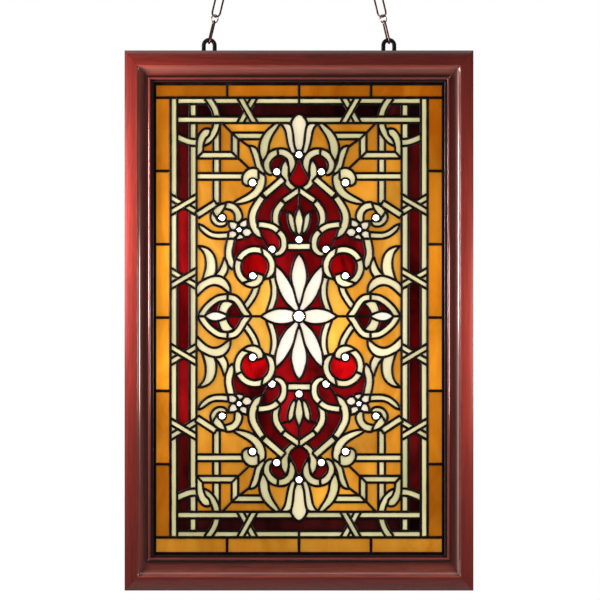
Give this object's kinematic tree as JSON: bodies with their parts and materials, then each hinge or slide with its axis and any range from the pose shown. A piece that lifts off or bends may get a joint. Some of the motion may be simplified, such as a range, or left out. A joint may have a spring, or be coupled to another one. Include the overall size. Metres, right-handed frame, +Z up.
{
  "type": "stained glass window panel",
  "caption": "Hanging leaded glass panel: amber border, cream strapwork and fleur-de-lis on red and amber, white central flower, moulded wood frame, short chains",
  "frame": {"origin": "midway between the two points where the upper bends of the hooks bear on their nails", "axes": "+X to the right as seen from the front, the front of the panel faces -Y, +Z up"},
  "size_m": [0.4946, 0.03, 0.9014],
  "materials": {
    "wood": "polished dark cherry with an olive-black groove, glossy varnish",
    "lead": "blackened lead came and solder, dull sheen",
    "amber_glass": "streaky amber opalescent glass, lit from behind",
    "cream_glass": "cream opalescent glass, greener towards the top",
    "red_glass": "deep ruby glass, nearly black away from the middle",
    "white_glass": "warm white opalescent glass",
    "jewel_glass": "clear domed jewels with a pale edge",
    "black_iron": "black japanned iron, slight sheen",
    "steel_ring": "dull nickel-plated wire",
    "bronze": "dark antique bronze plating"
  },
  "bodies": {
    "root": {"amber_field": "amber_glass", "border_came": "lead", "border_tile_bottom_1": "amber_glass", "border_tile_bottom_2": "amber_glass", "border_tile_bottom_3": "amber_glass", "border_tile_bottom_4": "amber_glass", "border_tile_left_1": "amber_glass", "border_tile_left_2": "amber_glass", "border_tile_left_3": "amber_glass", "border_tile_left_4": "amber_glass", "border_tile_left_5": "amber_glass", "border_tile_left_6": "amber_glass", "border_tile_right_1": "amber_glass", "border_tile_right_2": "amber_glass", "border_tile_right_3": "amber_glass", "border_tile_right_4": "amber_glass", "border_tile_right_5": "amber_glass", "border_tile_right_6": "amber_glass", "border_tile_top_1": "amber_glass", "border_tile_top_2": "amber_glass", "border_tile_top_3": "amber_glass", "border_tile_top_4": "amber_glass", "chain_link_left_1": "bronze", "chain_link_left_2": "bronze", "chain_link_left_3": "bronze", "chain_link_right_1": "bronze", "chain_link_right_2": "bronze", "chain_link_right_3": "bronze", "chain_ring_left": "steel_ring", "chain_ring_right": "steel_ring", "eye_glass_left": "red_glass", "eye_glass_right": "red_glass", "flower_jewel": "white_glass", "flower_lead": "lead", "frame_rail_bottom": "wood", "frame_rail_left": "wood", "frame_rail_right": "wood", "frame_rail_top": "wood", "hanging_eye_left": "black_iron", "hanging_eye_right": "black_iron", "hook_left": "bronze", "hook_right": "bronze", "petal_down": "white_glass", "petal_down_left": "white_glass", "petal_down_right": "white_glass", "petal_left": "white_glass", "petal_right": "white_glass", "petal_up": "white_glass", "petal_up_left": "white_glass", "petal_up_right": "white_glass", "red_field_lower": "red_glass", "red_field_upper": "red_glass", "red_strip_bottom": "red_glass", "red_strip_left": "red_glass", "red_strip_right": "red_glass", "red_strip_top": "red_glass", "strapwork": "cream_glass"}
  },
  "joints": []
}
